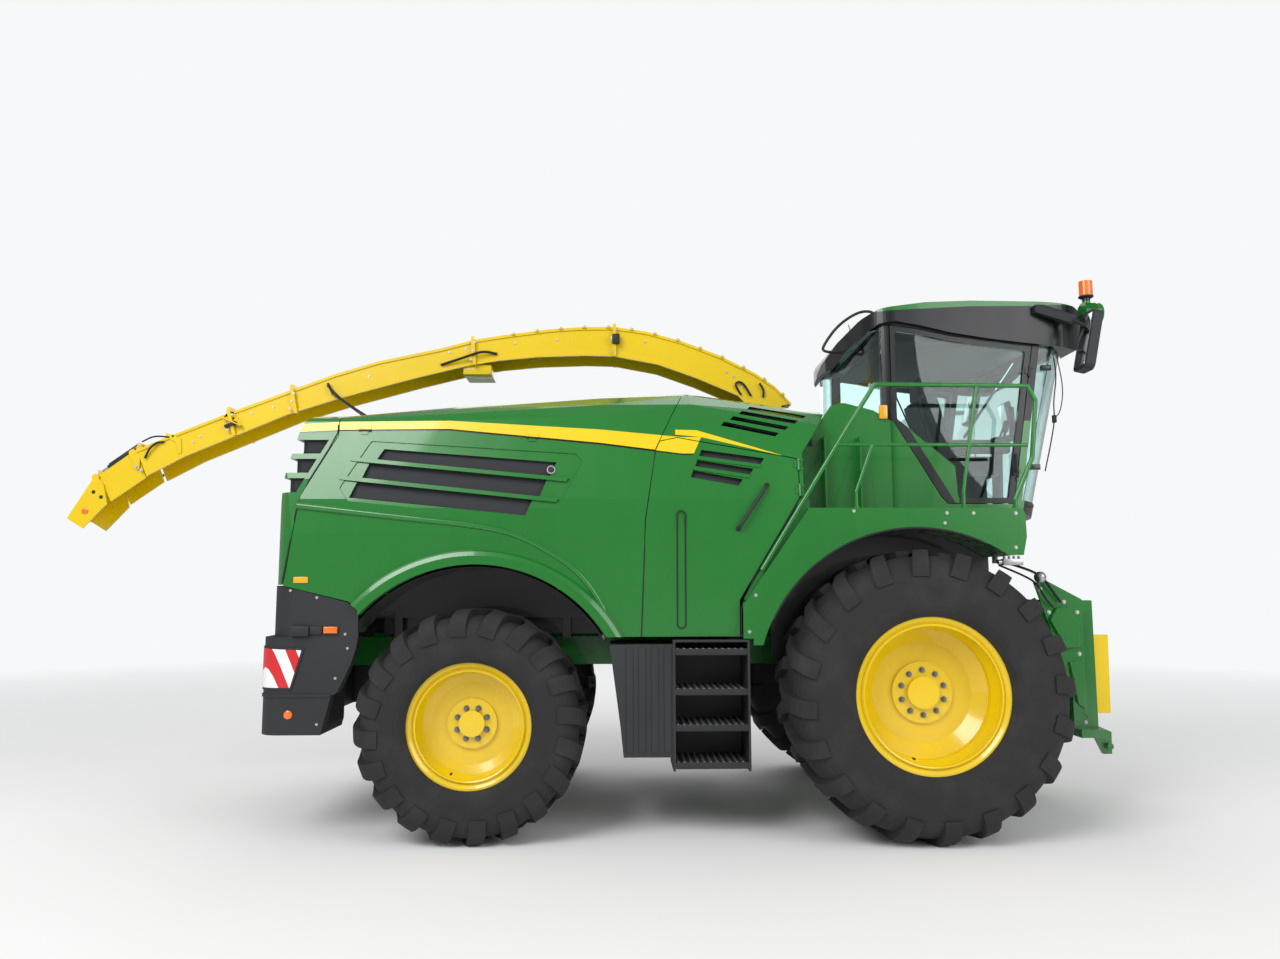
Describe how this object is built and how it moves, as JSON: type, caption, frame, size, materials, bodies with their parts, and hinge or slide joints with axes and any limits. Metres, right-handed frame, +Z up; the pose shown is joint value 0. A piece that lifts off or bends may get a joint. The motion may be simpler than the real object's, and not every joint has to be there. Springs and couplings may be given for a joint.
{
  "type": "forage harvester",
  "caption": "Self-propelled forage harvester: cab over the crop intake, engine under a long rear hood, and a slewing discharge spout folded back over the hood.",
  "frame": {"origin": "on the ground under the middle of the bounding box", "axes": "+X forward, +Y to the machine's left, +Z up"},
  "size_m": [8.497, 3.36, 4.1453],
  "materials": {
    "green_paint": "gloss enamel",
    "yellow_paint": "gloss enamel",
    "black_paint": "satin enamel",
    "black_plastic": "moulded",
    "tyre_rubber": "dusty",
    "steel": "machined",
    "chrome": "polished",
    "window_glass": "clear",
    "lamp_glass": "clear lens",
    "amber_lens": "translucent amber",
    "seat_fabric": "woven",
    "cast_grey": "painted casting"
  },
  "bodies": {
    "chassis": {"main_frame": "green_paint", "body_frame": "black_paint", "front_axle": "green_paint", "rear_axle": "green_paint", "engine": "cast_grey", "cooling_pack": "black_paint", "hood": "green_paint", "mid_cowl": "green_paint", "tail_skirt": "black_plastic", "bumper": "black_plastic", "step_boxes": "black_plastic", "fenders": "green_paint", "handrails": "green_paint", "cab_shell": "green_paint", "cab_roof": "green_paint", "cab_glass": "window_glass", "seat": "seat_fabric", "steering_column": "black_plastic", "mirrors": "black_plastic", "lamp_pods": "green_paint", "lamps": "lamp_glass", "beacons": "amber_lens", "crop_duct": "green_paint", "slew_ring": "steel", "spout_cradle": "black_paint", "hitch": "black_paint"},
    "front_wheel_l": {"front_rim_l": "yellow_paint", "front_tyre_l": "tyre_rubber"},
    "front_wheel_r": {"front_rim_r": "yellow_paint", "front_tyre_r": "tyre_rubber"},
    "steer_knuckle_l": {"knuckle_l": "green_paint"},
    "steer_knuckle_r": {"knuckle_r": "green_paint"},
    "rear_wheel_l": {"rear_rim_l": "yellow_paint", "rear_tyre_l": "tyre_rubber"},
    "rear_wheel_r": {"rear_rim_r": "yellow_paint", "rear_tyre_r": "tyre_rubber"},
    "tie_rod": {"tie_rod": "steel"},
    "cab_door_l": {"door_l": "black_paint", "door_glass_l": "window_glass"},
    "cab_door_r": {"door_r": "black_paint", "door_glass_r": "window_glass"},
    "side_panel_l": {"side_panel_l": "green_paint"},
    "side_panel_r": {"side_panel_r": "green_paint"},
    "mid_panel_l": {"mid_panel_l": "green_paint"},
    "mid_panel_r": {"mid_panel_r": "green_paint"},
    "tail_gate": {"tail_gate": "green_paint"},
    "feed_unit": {"feed_housing": "green_paint", "feed_rolls": "steel"},
    "lift_barrels": {"lift_barrels": "black_paint"},
    "lift_rods": {"lift_rods": "chrome"},
    "spout_base": {"spout_base": "yellow_paint"},
    "spout_arm": {"spout_arm": "yellow_paint"},
    "spout_flap": {"spout_flap": "yellow_paint"},
    "spout_tip": {"spout_tip": "yellow_paint"}
  },
  "joints": [
    {"name": "front_wheel_l_spin", "type": "hinge", "parent": "chassis", "child": "front_wheel_l", "pos_m": [2.5265, 1.28, 1.01], "axis": [0, 1, 0], "continuous": true},
    {"name": "front_wheel_r_spin", "type": "hinge", "parent": "chassis", "child": "front_wheel_r", "pos_m": [2.5265, -1.28, 1.01], "axis": [0, 1, 0], "continuous": true},
    {"name": "steer_l", "type": "hinge", "parent": "chassis", "child": "steer_knuckle_l", "pos_m": [-0.6735, 0.86, 0.805], "axis": [0, 0, 1], "range_deg": [-30, 30]},
    {"name": "rear_wheel_l_spin", "type": "hinge", "parent": "steer_knuckle_l", "child": "rear_wheel_l", "pos_m": [-0.6735, 1.24, 0.805], "axis": [0, 1, 0], "continuous": true},
    {"name": "steer_r", "type": "hinge", "parent": "chassis", "child": "steer_knuckle_r", "pos_m": [-0.6735, -0.86, 0.805], "axis": [0, 0, 1], "range_deg": [-30, 30]},
    {"name": "rear_wheel_r_spin", "type": "hinge", "parent": "steer_knuckle_r", "child": "rear_wheel_r", "pos_m": [-0.6735, -1.24, 0.805], "axis": [0, 1, 0], "continuous": true},
    {"name": "tie_rod_pin", "type": "hinge", "parent": "steer_knuckle_l", "child": "tie_rod", "pos_m": [-0.4735, 0.86, 0.713], "axis": [0, 0, 1], "range_deg": [-30, 30]},
    {"name": "cab_door_l_hinge", "type": "hinge", "parent": "chassis", "child": "cab_door_l", "pos_m": [3.51533, 0.959, 3.03], "axis": [-0.1564, 0, -0.9877], "range_deg": [0, 75]},
    {"name": "cab_door_r_hinge", "type": "hinge", "parent": "chassis", "child": "cab_door_r", "pos_m": [3.51533, -0.959, 3.03], "axis": [0.1564, 0, 0.9877], "range_deg": [0, 17]},
    {"name": "side_panel_l_hinge", "type": "hinge", "parent": "chassis", "child": "side_panel_l", "pos_m": [-0.89725, 1.2367, 2.89383], "axis": [0.9991, 0.007, -0.0421], "range_deg": [0, 75]},
    {"name": "side_panel_r_hinge", "type": "hinge", "parent": "chassis", "child": "side_panel_r", "pos_m": [-0.89725, -1.2367, 2.89383], "axis": [-0.9991, 0.007, 0.0421], "range_deg": [0, 75]},
    {"name": "mid_panel_l_hinge", "type": "hinge", "parent": "chassis", "child": "mid_panel_l", "pos_m": [1.6885, 1.29262, 2.56], "axis": [0, 0.1652, -0.9863], "range_deg": [0, 100]},
    {"name": "mid_panel_r_hinge", "type": "hinge", "parent": "chassis", "child": "mid_panel_r", "pos_m": [1.6885, -1.29262, 2.56], "axis": [0, 0.1652, 0.9863], "range_deg": [0, 100]},
    {"name": "tail_gate_hinge", "type": "hinge", "parent": "chassis", "child": "tail_gate", "pos_m": [-1.708, 0, 3.104], "axis": [0, 1, 0], "range_deg": [0, 45]},
    {"name": "feed_unit_hinge", "type": "hinge", "parent": "chassis", "child": "feed_unit", "pos_m": [3.2265, 0, 1.06], "axis": [0, -1, 0], "range_deg": [-12, 20]},
    {"name": "lift_barrel_pin", "type": "hinge", "parent": "chassis", "child": "lift_barrels", "pos_m": [2.8465, 0, 0.7], "axis": [0, -1, 0], "range_deg": [-8.11, 13.18]},
    {"name": "lift_rod_slide", "type": "slide", "parent": "lift_barrels", "child": "lift_rods", "axis": [0.9876, 0, -0.1571], "range_m": [-0.0876, 0.1434]},
    {"name": "spout_slew", "type": "hinge", "parent": "chassis", "child": "spout_base", "pos_m": [1.7065, 0, 2.96], "axis": [0, 0, 1], "range_deg": [-100, 100]},
    {"name": "spout_lift", "type": "hinge", "parent": "spout_base", "child": "spout_arm", "pos_m": [1.6765, 0, 3.19], "axis": [0, 1, 0], "range_deg": [0, 40]},
    {"name": "spout_flap_hinge", "type": "hinge", "parent": "spout_arm", "child": "spout_flap", "pos_m": [-3.7375, 0, 2.898], "axis": [0, 1, 0], "range_deg": [-25, 10]},
    {"name": "spout_tip_hinge", "type": "hinge", "parent": "spout_flap", "child": "spout_tip", "pos_m": [-4.0335, 0, 2.69], "axis": [0, 1, 0], "range_deg": [-26, 11]}
  ],
  "couplings": [
    {"joint": "steer_r", "follows": "steer_l", "ratio": 1},
    {"joint": "tie_rod_pin", "follows": "steer_l", "ratio": -1},
    {"joint": "lift_barrel_pin", "follows": "feed_unit_hinge", "ratio": 0.634},
    {"joint": "lift_rod_slide", "follows": "feed_unit_hinge", "m_per_rad": 0.3993},
    {"joint": "spout_tip_hinge", "follows": "spout_flap_hinge", "ratio": 1}
  ]
}
